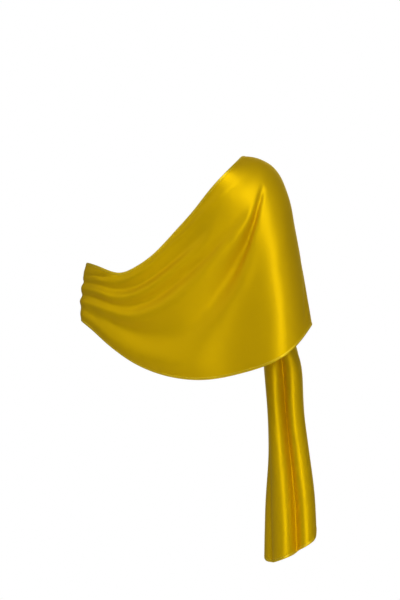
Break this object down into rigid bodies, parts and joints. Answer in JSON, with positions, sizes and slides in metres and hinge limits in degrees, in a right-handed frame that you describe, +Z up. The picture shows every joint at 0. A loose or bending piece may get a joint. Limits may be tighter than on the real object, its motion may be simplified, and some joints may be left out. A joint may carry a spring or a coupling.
{
  "type": "satin stole",
  "caption": "Long satin stole with narrow hems, worn over one shoulder, across the back and through the crooks of both arms, with one end hanging",
  "frame": {"origin": "the place on top of the wearer's right shoulder that carries the cloth", "axes": "+X is the wearer's right, +Y is the way the wearer faces, +Z is up"},
  "size_m": [0.5192, 0.294, 0.851],
  "materials": {
    "gold_satin": "smooth satin, glossy on its face and dull on its reverse",
    "gold_satin_hem": "the same satin, turned twice and stitched"
  },
  "bodies": {
    "root": {"left_end": "gold_satin", "left_arm_wrap": "gold_satin", "back_drape": "gold_satin", "shoulder_fall": "gold_satin", "right_arm_wrap": "gold_satin", "right_tail": "gold_satin", "hem_upper": "gold_satin_hem", "hem_lower": "gold_satin_hem", "hem_left_end": "gold_satin_hem", "hem_right_end": "gold_satin_hem"}
  },
  "joints": []
}
